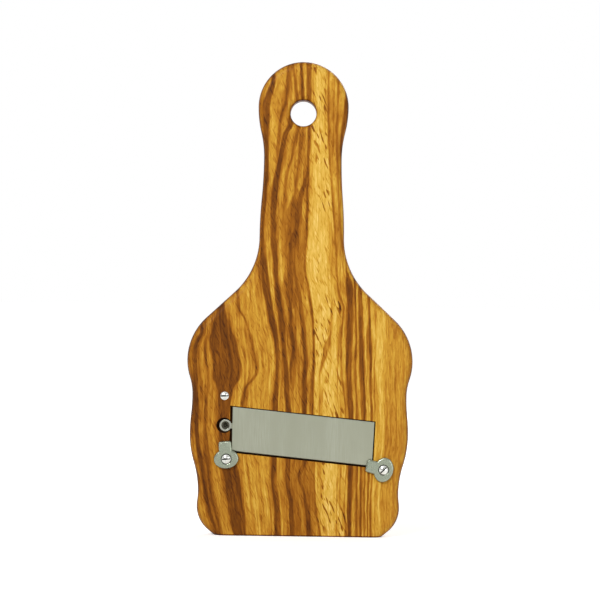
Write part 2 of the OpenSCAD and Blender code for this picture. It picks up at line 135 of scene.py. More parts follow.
def seen_directly(tree):
    """1 for rays from the camera, from gloss and through glass, and 0 for the light that they gather."""
    path = add_node(tree, "LightPath").outputs
    seen = add_node(tree, "Math", {0: path["Is Camera Ray"], 1: path["Is Transmission Ray"]},
                    operation="ADD", use_clamp=True)
    return add_node(tree, "Math", {0: seen.outputs[0], 1: path["Is Glossy Ray"]},
                    operation="ADD", use_clamp=True).outputs[0]


bpy.ops.mesh.primitive_plane_add(size=80, location=(0, 0, 0))
floor = bpy.context.object
floor.name = "floor"
paper, tree, output = new_material("white_paper")
away = add_node(tree, "VectorMath", {0: add_node(tree, "TexCoord").outputs["Object"]}, operation="LENGTH")
level = add_node(tree, "MapRange", {"Value": away.outputs["Value"], "From Min": 0.4, "From Max": 1.6,
                                    "To Min": near_glow, "To Max": far_glow})
glow = add_node(tree, "Math", {0: seen_directly(tree), 1: level.outputs[0]}, operation="MULTIPLY")
matt = add_node(tree, "BsdfDiffuse", {"Color": linear("#f4f4f2")})
glowing = add_node(tree, "Emission", {"Strength": glow.outputs[0]})
both = add_node(tree, "AddShader", {0: matt.outputs[0], 1: glowing.outputs[0]})
tree.links.new(both.outputs[0], output.inputs["Surface"])
floor.data.materials.append(paper)

world = bpy.data.worlds.new("studio")
bpy.context.scene.world = world
world.use_nodes = True
tree = world.node_tree
tree.nodes.clear()
way = add_node(tree, "SeparateXYZ", {0: add_node(tree, "TexCoord").outputs["Generated"]}).outputs["Y"]
mirrored = add_node(tree, "MapRange", {"Value": way, "From Min": -0.95, "From Max": -0.35,
                                       "To Min": camera_side, "To Max": 1.0}, interpolation_type="SMOOTHSTEP")
gloss = add_node(tree, "LightPath").outputs["Is Glossy Ray"]
full = add_node(tree, "MapRange", {"Value": gloss, "To Min": 1.0, "To Max": mirrored.outputs[0]})
strength = add_node(tree, "MapRange", {
    "Value": seen_directly(tree), "To Min": world_light, "To Max": full.outputs[0]})
background = add_node(tree, "Background", {"Color": linear("#ffffff"), "Strength": strength.outputs[0]})
add_node(tree, "OutputWorld", {"Surface": background.outputs[0]})


# %% Lamps
def soft_lamp(name, place, target, size, watts):
    """A square area lamp that points at a target."""
    direction = Vector(target) - Vector(place)
    bpy.ops.object.light_add(type="AREA", location=place, rotation=direction.to_track_quat("-Z", "Y").to_euler())
    lamp = bpy.context.object
    lamp.name = name
    lamp.data.size = size
    lamp.data.energy = watts


middle = (0, 0, 0.1)
soft_lamp("key_lamp", (-0.5, -1.1, 0.85), middle, 0.4, 11)
soft_lamp("fill_lamp", (0.7, -1.1, 0.25), middle, 0.7, 4)
soft_lamp("back_lamp", (0.4, 1.1, 0.8), middle, 0.8, 10)
bpy.context.scene.view_settings.view_transform = "Standard"

# %% [markdown]
# Shaping tools
#
# A few small tools make every piece here. A slab is a flat outline that is extruded. A turned piece is
# a profile that is spun round an axis, as on a lathe. Carving is a Boolean modifier that is applied at
# once. Softening bevels the sharp edges and evens the normals, because real edges are never quite
# sharp, and the thin highlight that they catch is what makes metal look like metal. The tools take
# millimetres.


# %% Selecting and applying
def use_only(piece):
    """Selects one object and nothing else, and makes it the active one."""
    bpy.ops.object.select_all(action="DESELECT")
    piece.select_set(True)
    bpy.context.view_layer.objects.active = piece


def apply_modifier(piece, kind, **settings):
    """Adds a modifier with its settings and applies it."""
    use_only(piece)
    modifier = piece.modifiers.new(kind.lower(), kind)
    for name, value in settings.items():
        setattr(modifier, name, value)
    bpy.ops.object.modifier_apply(modifier=modifier.name)


def edit_edges(piece, wanted):
    """Opens a piece in edit mode, with the edges selected whose middle passes the test."""
    use_only(piece)
    bpy.context.tool_settings.mesh_select_mode = (False, True, False)
    corners = piece.data.vertices
    for kind in (piece.data.vertices, piece.data.polygons, piece.data.edges):
        kind.foreach_set("select", [False] * len(kind))
    for edge in piece.data.edges:
        edge.select = wanted((corners[edge.vertices[0]].co + corners[edge.vertices[1]].co) / 2 / MM)
    bpy.ops.object.mode_set(mode="EDIT")


def close_up():
    """In edit mode: merges doubles, turns the faces outwards and goes back to object mode."""
    bpy.ops.mesh.select_all(action="SELECT")
    bpy.ops.mesh.remove_doubles(threshold=0.002 * MM)
    bpy.ops.mesh.normals_make_consistent(inside=False)
    bpy.ops.object.mode_set(mode="OBJECT")


# %% Slabs and turned pieces
def ring_of_points(name, points, fill):
    """A circle primitive whose vertices are moved to the given points."""
    bpy.ops.object.select_all(action="DESELECT")
    bpy.ops.mesh.primitive_circle_add(vertices=len(points), fill_type=fill)
    piece = bpy.context.object
    piece.name = piece.data.name = name
    for vertex, point in zip(piece.data.vertices, points):
        vertex.co = Vector(point) * MM
    return piece


def drawn_out(name, points, way):
    """A flat face through the points, extruded by a vector."""
    piece = ring_of_points(name, points, "NGON")
    bpy.ops.object.mode_set(mode="EDIT")
    bpy.ops.mesh.select_all(action="SELECT")
    bpy.ops.mesh.extrude_region_move(TRANSFORM_OT_translate={"value": Vector(way) * MM})
    close_up()
    return piece


def slab(name, outline, y0, y1):
    """A flat outline of [x, z] points, extruded from depth y0 to depth y1."""
    return drawn_out(name, [(x, y0, z) for x, z in outline], (0, y1 - y0, 0))


def turned(name, profile, at, steps=64):
    """A profile of [radius, depth] points, spun round the line along Y through a place on the face."""
    piece = ring_of_points(name, [(at[0] + radius, y, at[1]) for radius, y in profile], "NOTHING")
    edit_edges(piece, lambda middle: middle.x - at[0] < 0.001)
    bpy.ops.mesh.delete(type="EDGE")
    bpy.ops.mesh.select_all(action="SELECT")
    bpy.ops.mesh.spin(steps=steps, angle=2 * pi, center=(at[0] * MM, 0, at[1] * MM), axis=(0, 1, 0))
    close_up()
    return piece


def rod(name, radius, y0, y1, at):
    """A plain round bar, for cutting holes."""
    return turned(name, [(0, y0), (radius, y0), (radius, y1), (0, y1)], at)


# %% Cutting and softening
def carve(piece, cutter, operation="DIFFERENCE", cut_shade=None):
    """Cuts one piece with another, or joins it, and the other is used up. The cut faces can take a painted shade of
    their own.
    """
    if cut_shade:
        cutter.data.materials.append(cut_shade)
    apply_modifier(piece, "BOOLEAN", operation=operation, object=cutter, solver="EXACT", material_mode="TRANSFER")
    bpy.data.objects.remove(cutter)


def saw(piece, place, normal):
    """Cuts a piece along a plane and keeps the side that the normal points away from."""
    use_only(piece)
    bpy.ops.object.mode_set(mode="EDIT")
    bpy.ops.mesh.select_all(action="SELECT")
    bpy.ops.mesh.bisect(plane_co=Vector(place) * MM, plane_no=normal, use_fill=True, clear_outer=True)
    close_up()


def bevel_where(piece, wanted, width, segments):
    """Rounds the edges whose middle passes the test."""
    edit_edges(piece, wanted)
    bpy.ops.mesh.bevel(offset=width * MM, segments=segments, affect="EDGES", clamp_overlap=False)
    bpy.ops.object.mode_set(mode="OBJECT")


def clean(piece, reach):
    """Merges corners that lie closer than the reach in mm and faces that lie flat beside each other."""
    use_only(piece)
    bpy.ops.object.mode_set(mode="EDIT")
    bpy.ops.mesh.select_all(action="SELECT")
    bpy.ops.mesh.remove_doubles(threshold=reach * MM)
    bpy.ops.mesh.dissolve_degenerate(threshold=reach * MM)
    bpy.ops.mesh.select_all(action="SELECT")
    bpy.ops.mesh.dissolve_limited(angle_limit=radians(0.1))
    bpy.ops.mesh.select_all(action="SELECT")
    bpy.ops.mesh.delete_loose()
    bpy.ops.object.mode_set(mode="OBJECT")


def soften(piece, width, segments=2, sharp=35):
    """Bevels the sharp edges by a little, if a width is given, and evens the normals."""
    if width:
        clean(piece, width / 10)
        apply_modifier(piece, "BEVEL", width=width * MM, segments=segments, limit_method="ANGLE",
                       angle_limit=radians(sharp), use_clamp_overlap=True)
        clean(piece, 0.0005)
    use_only(piece)
    bpy.ops.object.shade_smooth_by_angle(angle=radians(sharp))
    apply_modifier(piece, "WEIGHTED_NORMAL", keep_sharp=True)


# %% Finishing and measuring
def finish(piece, material, body, node):
    """Gives a piece its finish, its body and the CAD node that it stands for."""
    if not any(piece.data.materials):
        piece.data.materials.clear()
        piece.data.materials.append(material)
    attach(piece, body)
    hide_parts(node)
    print(piece.name, "rides on", body + ",", len(piece.data.polygons), "faces")


def depths(node):
    """Front and back depth of a CAD node, in mm."""
    low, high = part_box(node)
    return low.y / MM, high.y / MM


def centre(node):
    """Middle of a CAD node's box on the face, as [x, z] in mm."""
    low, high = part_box(node)
    return Vector((low.x + high.x, low.z + high.z)) / 2 / MM


# %% [markdown]
# Olive wood
#
# Olive grows slowly and crookedly. Its heartwood is gold, with brown streaks that wander along the
# grain, and this board also has a pale band with short slanted flecks right of the middle. One noise
# texture can't give such a board, because the eye knows each big streak. So the big ones are placed one
# by one: each is a curve of its place and its width along the board. The fine lines between them come
# from noise that is stretched along the grain, and it is read in a coordinate that bends with the big
# streaks, so that fine lines run beside them as real growth rings do. All of this adds up to one
# number, how dark the wood is, and one ramp turns that number into the colours of the wood.

# %% Streaks of the grain
# Each streak: how dark it is, and [height, sideways place, half width] in mm, from the handle down
STREAKS = {
    "handle_left": (0.85, [
        (213, -14, 0.9), (206, -15.8, 1.4), (197, -17.3, 1.5), (187, -17.2, 1.1), (169, -16.9, 0.7),
        (147, -17.5, 0.7), (133, -17.8, 0.9), (128, -17.6, 1.6), (119, -16.6, 1.9), (105, -14, 1.3),
        (91, -11.4, 1.1), (79, -10.5, 0.9), (62, -11.2, 1.3), (28, -11.6, 1.3), (14, -10.2, 1.4), (0, -9.1, 1.4)]),
    "handle_middle": (0.9, [
        (192, -6.3, 1.2), (187, -8.5, 1.1), (174, -10.9, 1.1), (163, -12.6, 1.6), (150, -12.9, 1.2),
        (128, -11.9, 1.3), (112, -10.5, 1.1), (98, -9.1, 1.2), (86, -7.5, 0.9), (72, -6.1, 1.1), (45, -4.6, 1.2),
        (28, -5.3, 1.2), (14, -3, 1.2), (0, -2.1, 1.2)]),
    "above_hole_a": (0.6, [(220, -5.3, 0.5), (210, -3.7, 0.7), (203, -3.1, 0.7), (200, -3.1, 0.2)]),
    "above_hole_b": (0.7, [(220, -1.5, 0.6), (211, -0.9, 0.8), (204, -0.6, 0.7), (200, -0.5, 0.2)]),
    "beside_band": (0.7, [
        (220, 1.8, 0.7), (202, 2.3, 0.8), (183, 2.9, 0.9), (169, 2.5, 0.7), (159, -0.2, 1.2), (147, -1.4, 1.2),
        (138, -3.6, 1.6), (128, -4.8, 1.9), (112, -5.1, 1.2), (98, -5.6, 0.7), (88, -3.8, 0.9), (74, -4.5, 0.5)]),
    "lens": (0.55, [(190, -2.9, 0.5), (179, -4.2, 0.7), (167, -7.5, 0.6), (154, -7.6, 0.8), (143, -6, 0.9),
                    (136, -6.4, 0.5)]),
    "under_hole": (0.5, [(190, -2, 0.5), (179, -1.6, 0.7), (167, -2.1, 0.7), (161, -3, 0.5)]),
    "middle_right": (0.8, [
        (128, -3.4, 0.9), (115, -1.6, 0.9), (100, 0.2, 1.2), (89, 1.3, 1.1), (81, 2.4, 1.2), (65, 2.1, 1.2),
        (35, 2.3, 1.2), (28, 0.3, 1.1), (21, 2.5, 0.9), (7, 5.5, 1.2), (0, 5.6, 1.1)]),
    "band_edge": (0.7, [
        (220, 2.9, 0.4), (187, 3.3, 0.4), (163, 2.9, 0.5), (135, 2.1, 0.4), (128, 1.7, 0.5), (112, 3.8, 0.6),
        (96, 5.4, 0.5), (79, 6.3, 0.6), (60, 5.9, 0.5), (40, 7.2, 0.4), (18, 8.1, 0.4), (0, 10.6, 0.4)]),
    "band_far_edge": (0.6, [
        (219, 11.6, 0.4), (178, 12.6, 0.4), (154, 14.9, 0.5), (128, 16.6, 0.4), (111, 18.2, 0.5), (106, 19.7, 0.4),
        (96, 19, 0.3), (77, 20.2, 0.4), (58, 21.9, 0.4), (36, 22.7, 0.3), (17, 22, 0.3), (0, 22.7, 0.3)]),
    "handle_right": (0.55, [(214, 16.3, 0.5), (199, 16.3, 0.5), (187, 16, 0.7), (169, 16.8, 0.4), (154, 17.7, 0.5),
                            (136, 18.9, 0.7), (131, 19.4, 0.2)]),
    "handle_rim": (0.8, [(204, 20.2, 0.7), (198, 20.1, 0.9), (187, 18.6, 0.6), (180, 18.2, 0.5)]),
    "straight_a": (0.9, [(125, 20.9, 0.2), (121, 21.7, 0.9), (115, 22.4, 1.5), (89, 22.8, 1.3), (66, 23.6, 1.2),
                         (45, 24.4, 1.2), (17, 24.3, 1.1), (0, 24.2, 0.9)]),
    "straight_b": (0.8, [(122, 24.7, 0.5), (101, 25.4, 0.4), (73, 26.3, 0.35), (31, 27.2, 0.4), (0, 27.8, 0.4)]),
    "straight_c": (0.85, [(118, 27.1, 0.7), (106, 27.7, 1), (87, 28.5, 1), (64, 29.7, 1.1), (54, 29.9, 0.9),
                          (33, 29.2, 0.5), (0, 29.7, 0.5)]),
    "straight_d": (0.75, [(45, 30.9, 0.2), (33, 31.1, 0.4), (0, 31.7, 0.4)]),
    "straight_e": (0.8, [(114, 30.9, 0.6), (97, 31.9, 0.5), (68, 32.9, 0.5), (45, 33.7, 0.5), (33, 33, 0.4),
                         (0, 33.5, 0.4)]),
    "straight_f": (0.6, [(43, 34.5, 0.2), (33, 34.6, 0.4), (0, 34.9, 0.4)]),
    "patch": (0.85, [
        (109, -36.8, 0.9), (105, -36.8, 1.9), (100, -36.7, 3.3), (94, -36.1, 4.9), (89, -35.1, 6.3), (77, -33.1, 6.5),
        (71, -33.9, 5), (65, -34.5, 3.2), (49, -35.1, 2.3), (38, -33.5, 3.1), (30, -31.9, 3.5), (11, -28.8, 3.7), (0, -26.8, 3)]),
    "hook": (0.6, [(110, -29.3, 0.4), (99, -24.5, 0.5), (88, -21.1, 0.6), (77, -19.5, 0.7), (73, -21.1, 0.7),
                   (68, -25, 0.8), (57, -26.7, 0.5)]),
    "left_edge": (0.75, [
        (95, -46, 0.9), (91, -47.8, 1.2), (85, -49.1, 1.2), (71, -47.7, 1.2), (49, -47.6, 0.9), (28, -45, 0.9),
        (10, -41.5, 1.1), (0, -38.5, 1.2)]),
    "left_line": (0.5, [(88, -44, 0.5), (74, -41.9, 0.5), (51, -43.9, 0.5), (25, -41.7, 0.5), (0, -36.6, 0.7)]),
    "neck_wash": (0.4, [(154, -3.8, 2), (142, -2.9, 5), (126, -2.6, 5), (110, -4.6, 3)]),
    "foot_wash": (0.3, [(33, 1, 6), (15, 1.5, 7), (0, 2, 7)]),
    "smear": (0.55, [(96, 14.3, 0.2), (92, 13.3, 0.7), (88, 12.3, 1.3), (84, 11.6, 1.1), (79, 10.2, 0.7),
                     (75, 9.5, 0.3)]),
    "top_left": (0.6, [(217, -7.1, 0.5), (203, -8, 0.7), (196, -10.5, 0.7), (185, -11.7, 0.7), (178, -12.1, 0.5)]),
}
# Ranges that the curves' values from 0 to 1 stand for, in mm
CURVE_HEIGHT = (-10, 230)
CURVE_PLACE = (-60, 60)
CURVE_HALF_WIDTH = (0, 10)
# A streak fades out over this length where it ends inside the board
STREAK_END = 5
# Half the width over which a streak's edge fades
STREAK_SOFT = 0.5
# Streaks that the fine grain runs beside, from left to right, each with the usual distance to the next
GUIDES = [("left_edge", 13), ("patch", 22), ("handle_left", 5), ("handle_middle", 11), ("band_edge", 13),
          ("band_far_edge", 4), ("straight_a", 6), ("straight_c", 4), ("straight_e", 0)]


def share_of(value, limits):
    return (value - limits[0]) / (limits[1] - limits[0])


def draw_curve(curve, points):
    """Sets the points of one curve of a curves node, from [place, value] shares of 0 to 1."""
    curve.points[0].location, curve.points[-1].location = points[0], points[-1]
    for point in points[1:-1]:
        curve.points.new(*point)
    for point in curve.points:
        point.handle_type = "AUTO_CLAMPED"


def streak_curves(tree, height, points):
    """Curves node that gives a streak's middle in red and its half width in green."""
    (top, top_x, _), (low, low_x, _) = points[0], points[-1]
    ends = [(top + STREAK_END, top_x, 0)] if top < 218 else []
    tail = [(low - STREAK_END, low_x, 0)] if low > 2 else []
    rows = sorted(ends + list(points) + tail)
    curves = add_node(tree, "RGBCurve", {"Color": height})
    for channel, column, limits in ((0, 1, CURVE_PLACE), (1, 2, CURVE_HALF_WIDTH)):
        draw_curve(curves.mapping.curves[channel],
                   [(share_of(row[0], CURVE_HEIGHT), share_of(row[column], limits)) for row in rows])
    curves.mapping.extend = "HORIZONTAL"
    curves.mapping.update()
    return add_node(tree, "SeparateColor", {0: curves.outputs[0]})


# %% Olive wood material
# How dark the wood is between the streaks, at places across the board in mm
GROUND = [(-52, 0.48), (-42, 0.44), (-36, 0.38), (-27, 0.38), (-16, 0.36), (-5, 0.35), (3, 0.35), (14, 0.34),
          (22, 0.3), (28, 0.26), (35, 0.24), (38, 0.26), (41, 0.38), (52, 0.42)]
# Colours of the wood from pale to dark
WOOD_COLOURS = [("#f4d27a", 0.0), ("#e2b64f", 0.15), ("#cf9b33", 0.3), ("#ba7e24", 0.45), ("#9e6014", 0.62),
                ("#7e470b", 0.8), ("#512906", 1.0)]


def olive_wood():
    """Oiled and polished olive heartwood. It gives the eye gold with brown wandering streaks and a soft gloss."""
    material, tree, output = new_material("oiled_olive_wood")
    math = lambda operation, *values, **more: add_node(
        tree, "Math", dict(enumerate(values)), operation=operation, **more).outputs[0]
    place = add_node(tree, "TexCoord").outputs
    in_mm = add_node(tree, "VectorMath", {0: place["Object"], "Scale": 1000}, operation="SCALE").outputs[0]
    axes = add_node(tree, "SeparateXYZ", {0: in_mm}).outputs

    def grain_noise(where, size, detail=2.0, turn=0.0):
        """Noise whose blobs have this size in mm across, through and along the board."""
        mapping = add_node(tree, "Mapping", {"Vector": where, "Rotation": (0, turn, 0), "Scale": size},
                           vector_type="TEXTURE").outputs[0]
        return add_node(tree, "TexNoise", {0: mapping, "Scale": 1.0, "Detail": detail}).outputs[0]

    def rise(value, low, high, top=1.0):
        """0 below the first value, the top above the second, and a soft step between."""
        return add_node(tree, "MapRange", {"Value": value, "From Min": low, "From Max": high, "To Max": top},
                        interpolation_type="SMOOTHSTEP").outputs[0]

    # Noise bends the whole grain: slow waves, then shorter ones, then the fibres
    across = axes["X"]
    for size, reach, detail in (((25, 30, 70), 1.6, 1.0), ((5, 8, 22), 0.8, 2.0), ((0.8, 2, 6), 0.5, 2.0)):
        across = math("ADD", across, math("MULTIPLY_ADD", grain_noise(in_mm, size, detail), 2 * reach, -reach))
    height = add_node(tree, "MapRange", {
        "Value": axes["Z"], "From Min": CURVE_HEIGHT[0], "From Max": CURVE_HEIGHT[1]}).outputs[0]

    # The listed streaks, the darkest of which counts at each place, and how near the nearest one is
    streak = near = None
    middles = {}
    for name, (darkness, points) in STREAKS.items():
        channels = streak_curves(tree, height, points).outputs
        middles[name] = math("MULTIPLY_ADD", channels[0], CURVE_PLACE[1] - CURVE_PLACE[0], CURVE_PLACE[0])
        half = math("MULTIPLY", channels[1], CURVE_HALF_WIDTH[1])
        inside = math("SUBTRACT", half, math("ABSOLUTE", math("SUBTRACT", across, middles[name])))
        mask = rise(inside, -STREAK_SOFT, STREAK_SOFT, darkness)
        streak = mask if streak is None else math("MAXIMUM", streak, mask)
        near = inside if near is None else math("MAXIMUM", near, inside)

    # The coordinate that bends with the big streaks
    grain = math("MINIMUM", math("SUBTRACT", across, middles[GUIDES[0][0]]), 0.0)
    for (name, gap), (next_name, _) in zip(GUIDES, GUIDES[1:]):
        way = math("SUBTRACT", across, middles[name])
        whole = math("SUBTRACT", middles[next_name], middles[name])
        grain = math("MULTIPLY_ADD", math("DIVIDE", way, whole, use_clamp=True), gap, grain)
    grain = math("ADD", grain, math("MAXIMUM", math("SUBTRACT", across, middles[GUIDES[-1][0]]), 0.0))
    along_grain = add_node(tree, "CombineXYZ", {0: grain, 1: axes["Y"], 2: axes["Z"]}).outputs[0]

    # How dark the wood is between the streaks
    ground = add_node(tree, "FloatCurve", {"Value": add_node(tree, "MapRange", {
        "Value": across, "From Min": CURVE_PLACE[0], "From Max": CURVE_PLACE[1]}).outputs[0]})
    draw_curve(ground.mapping.curves[0], [(share_of(x, CURVE_PLACE), dark) for x, dark in GROUND])
    ground.mapping.update()
    in_band = math("MULTIPLY", rise(math("SUBTRACT", across, middles["band_edge"]), -0.4, 0.6),
                   rise(math("SUBTRACT", middles["band_far_edge"], across), -1.5, 1.5))
    dark = math("MULTIPLY_ADD", in_band, -0.19, ground.outputs[0])
    # Right of the band the handle is paler than the rest
    outside = math("MULTIPLY", rise(math("SUBTRACT", across, middles["band_far_edge"]), -1.5, 1.5),
                   rise(axes["Z"], 110, 150))
    dark = math("MULTIPLY_ADD", outside, -0.1, dark)

    # Growth rings, a few millimetres wide and then finer, calmer in the pale band, and the fibres
    calm = math("MULTIPLY_ADD", in_band, -0.6, 1.0)
    for size, reach, share in (((3.2, 6, 90), 0.17, calm), ((1.1, 3, 60), 0.22, calm), ((0.6, 1, 5), 0.26, 1.0)):
        ring = math("MULTIPLY_ADD", grain_noise(along_grain, size, 2.0), 2 * reach, -reach)
        dark = math("MULTIPLY_ADD", ring, share, dark)

    # Brown that has spread from the streaks into the wood beside them, in patches
    patchy = rise(grain_noise(along_grain, (2.5, 5, 30), 2.0), 0.4, 0.62, 0.22)
    dark = math("MULTIPLY_ADD", rise(near, -3.2, -0.2), patchy, dark)
    dark = math("MAXIMUM", dark, 0.0)

    # The streaks, mottled along the grain
    uneven = math("MULTIPLY_ADD", grain_noise(along_grain, (1.0, 3, 12), 3.0), 1.1, 0.42)
    streak = math("MULTIPLY", streak, uneven, use_clamp=True)
    dark = math("ADD", math("MULTIPLY", dark, math("MULTIPLY_ADD", streak, -0.6, 1.0)), math("MULTIPLY", streak, 0.73))

    # Slanted flecks: bold ones in groups in the pale band, and fine ones in the gold left of it
    grouped = rise(grain_noise(in_mm, (7, 9, 16), 1.0), 0.4, 0.6)
    bold = rise(grain_noise(in_mm, (1.2, 3, 6.5), 1.0, radians(-19)), 0.56, 0.65, 0.55)
    dark = math("MULTIPLY_ADD", math("MULTIPLY", bold, grouped), in_band, dark)
    left_of_band = rise(math("SUBTRACT", middles["band_far_edge"], across), -1.0, 1.0)
    thin = rise(grain_noise(in_mm, (0.7, 3, 6), 1.0, radians(-24)), 0.58, 0.7, 0.17)
    dark = math("MULTIPLY_ADD", thin, left_of_band, dark)
    pore = rise(grain_noise(along_grain, (0.3, 0.3, 2.4), 0.0), 0.66, 0.76)
    dark = math("MULTIPLY_ADD", pore, 0.12, dark)

    # Painted shade: the round-over is darker the more it turns away from the faces, and a painted dark outline lies on
    # its outer part.
    # Painted contact shadow: the lowest 0.8 mm of the board, where it stands on the floor, is darker.
    normal = add_node(tree, "SeparateXYZ", {0: place["Normal"]}).outputs
    facing = math("ABSOLUTE", normal["Y"])
    dark = math("ADD", dark, math("MULTIPLY_ADD", rise(facing, 0.2, 0.95), -0.14, 0.14))
    rim_shade = math("MULTIPLY", rise(facing, 0.02, 0.12), math("MULTIPLY_ADD", rise(facing, 0.3, 0.62), -0.34, 0.34))
    dark = math("ADD", dark, rim_shade)
    dark = math("ADD", dark, rise(math("MULTIPLY", axes["Z"], -1.0), -0.8, -0.4, 0.6))

    ramp = add_node(tree, "ValToRGB", {0: dark})
    elements = ramp.color_ramp.elements
    for k, (colour, share) in enumerate(WOOD_COLOURS):
        element = elements[k] if k < 2 else elements.new(share)
        element.position = share
        element.color = linear(colour)

    relief = math("MULTIPLY_ADD", pore, -1.0, math("MULTIPLY", grain_noise(along_grain, (0.5, 1, 18)), 0.8))
    bump = add_node(tree, "Bump", {"Height": relief, "Strength": 0.3, "Distance": 0.03 * MM})
    gloss = math("MULTIPLY_ADD", streak, 0.08, 0.44)
    shader = add_node(tree, "BsdfPrincipled", {
        "Base Color": ramp.outputs[0], "Roughness": gloss, "Normal": bump.outputs[0], "Specular IOR Level": 0.1})
    tree.links.new(shader.outputs[0], output.inputs["Surface"])
    print("olive wood:", len(tree.nodes), "nodes,", len(STREAKS), "streaks")
    return material


def two_tones(name, colours, roughness, size):
    """A matt surface that wavers between two colours, in patches of the given size in mm."""
    material, tree, output = new_material(name)
    mapping = add_node(tree, "Mapping", {
        "Vector": add_node(tree, "TexCoord").outputs["Object"], "Scale": tuple(length * MM for length in size)},
        vector_type="TEXTURE")
    noise = add_node(tree, "TexNoise", {0: mapping.outputs[0], "Scale": 1.0, "Detail": 3.0})
    share = add_node(tree, "MapRange", {"Value": noise.outputs[0], "From Min": 0.35, "From Max": 0.65})
    colour = add_node(tree, "Mix", {"Factor": share.outputs[0], 6: linear(colours[0]), 7: linear(colours[1])},
                      data_type="RGBA")
    shader = add_node(tree, "BsdfPrincipled", {
        "Base Color": colour.outputs[2], "Roughness": roughness, "Specular IOR Level": 0.1})
    tree.links.new(shader.outputs[0], output.inputs["Surface"])
    return material


wood = olive_wood()
# Painted shade: the walls that the router cut for the recess, the slot, the pocket and the screw's way are coloured a
# dark, matt brown for the shade inside them
recess_shade_wood = two_tones("olive_wood_painted_shade", ("#28170b", "#4a2b14"), 0.85, (1, 1, 4))
# Painted shade: the faces of a screw's slot are coloured nearly black for the shade inside it
slot_shade = two_tones("painted_shade_in_slots", ("#1b1a17", "#3a3833"), 0.6, (0.3, 0.3, 0.3))


# %% [markdown]
# Metals
#
# Steel has no colour of its own but what it reflects, dimmed and tinted. So each metal is a metallic
# shader with the tone of its real surface. What tells the metals apart is how they were finished:
# the blade is brushed, the clips are tumbled in a drum of stones, the screws are nickel-plated, and
# the adjuster's pieces are turned, which leaves fine rings round their axis. Real marks of a few
# hundredths of a millimetre are too fine to show here, so they are drawn coarser.


# %% Metals
def metal(name, tones, roughness, marks, bands=None, depth=0.1):
    """A metal with two close tones. Marks and bands are sizes in mm of its fine and its broad pattern."""
    material, tree, output = new_material(name)
    place = add_node(tree, "TexCoord").outputs["Object"]

    def pattern(size, detail):
        mapping = add_node(tree, "Mapping", {"Vector": place, "Scale": tuple(length * MM for length in size)},
                           vector_type="TEXTURE").outputs[0]
        noise = add_node(tree, "TexNoise", {0: mapping, "Scale": 1.0, "Detail": detail}).outputs[0]
        return add_node(tree, "MapRange", {"Value": noise, "From Min": 0.3, "From Max": 0.7}).outputs[0]

    fine = pattern(marks, 3.0)
    share = add_node(tree, "Math", {0: fine, 1: pattern(bands or marks, 1.0), 2: 0.0}, operation="MULTIPLY_ADD")
    colour = add_node(tree, "Mix", {"Factor": share.outputs[0], 6: linear(tones[0]), 7: linear(tones[1])},
                      data_type="RGBA")
    rough = add_node(tree, "MapRange", {
        "Value": fine, "To Min": roughness - 0.05, "To Max": roughness + 0.05}).outputs[0]
    bump = add_node(tree, "Bump", {"Height": fine, "Strength": depth, "Distance": 0.01 * MM})
    shader = add_node(tree, "BsdfPrincipled", {
        "Base Color": colour.outputs[2], "Metallic": 1.0, "Roughness": rough, "Normal": bump.outputs[0]})
    tree.links.new(shader.outputs[0], output.inputs["Surface"])
    return material


# Drawn over abrasive belts: soft grey with faint bands across the blade
brushed_steel = metal("brushed_stainless_steel", ("#9b9d8b", "#a9ab9b"), 0.34, (0.5, 2, 9), (9, 9, 40))
# Rubbed by stones in a drum: an even satin with no direction
tumbled_steel = metal("tumbled_stainless_steel", ("#919887", "#989f8e"), 0.27, (2, 2, 2), depth=0.02)
# Plated: bright, and smooth enough to mirror the lamps
nickel_plate = metal("nickel_plated_steel", ("#d3d4cd", "#e3e4de"), 0.14, (0.6, 0.6, 0.6), depth=0.05)
# Rolled and cut sheet: a faint grain along the strip
sheet_steel = metal("sheet_stainless_steel", ("#a6a8a0", "#b6b8b0"), 0.32, (0.4, 1, 9), depth=0.15)
turned_brass = metal("turned_brass", ("#c69d4d", "#d8b365"), 0.22, (0.5, 0.12, 0.5))
turned_steel = metal("turned_carbon_steel", ("#96978c", "#a9aa9f"), 0.2, (0.5, 0.12, 0.5))
# Dipped in a hot salt bath, which turns the steel nearly black and keeps it from rusting
blackened_steel = metal("blackened_steel", ("#4c4a40", "#605d51"), 0.24, (0.5, 0.12, 0.5))
fluted_metal = metal("turned_aluminium", ("#b1b2ab", "#c5c6bf"), 0.26, (0.8, 0.15, 0.8))

# %% [markdown]
# Board
#
# The board was cut from a plank with a router: the outline first, then a round-over bit along both
# faces, then the recess, the slot and the holes. It is made here in the same order. The outline is a
# chain of arcs between the places where the side runs straight up and down.

# %% Board outline
board_low, board_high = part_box("board")
front_y, back_y = depths("board")
edge_r = 3.5
handle_end_r = 21
flare_in_r = 35
flare_out_r = 27
corner_r = 14
corner_turn = radians(50)
# The saw left a sharp end, which was broken by a few strokes of sandpaper
foot_edge = 0.6
# Length of the steps in which arcs are drawn, and how far the outline runs on below the saw cut
step_len = 1.3
below_cut = 10
# Half way across the handle's round end, the first arc starts this far off the top
first_angle = radians(88)
handle_mid = Vector((0, board_high.z / MM - handle_end_r))
grip_waist = Vector((18.1, 176))
grip_swell = Vector((19.7, 139))
shoulder = Vector((52.499, 81.5))
side_waist = Vector((49.9, 65.5))
hip = Vector((50.9, 47.5))
foot_waist = Vector((46.7, 20))
corner_mid = Vector((33.15, 13.5))


def arc_points(middle, radius, first, last):
    """Points along an arc from one angle to another, without the last one."""
    parts = ceil(abs(last - first) * radius / step_len)
    angles = [first + (last - first) * i / parts for i in range(parts)]
    return [middle + radius * Vector((cos(a), sin(a))) for a in angles]


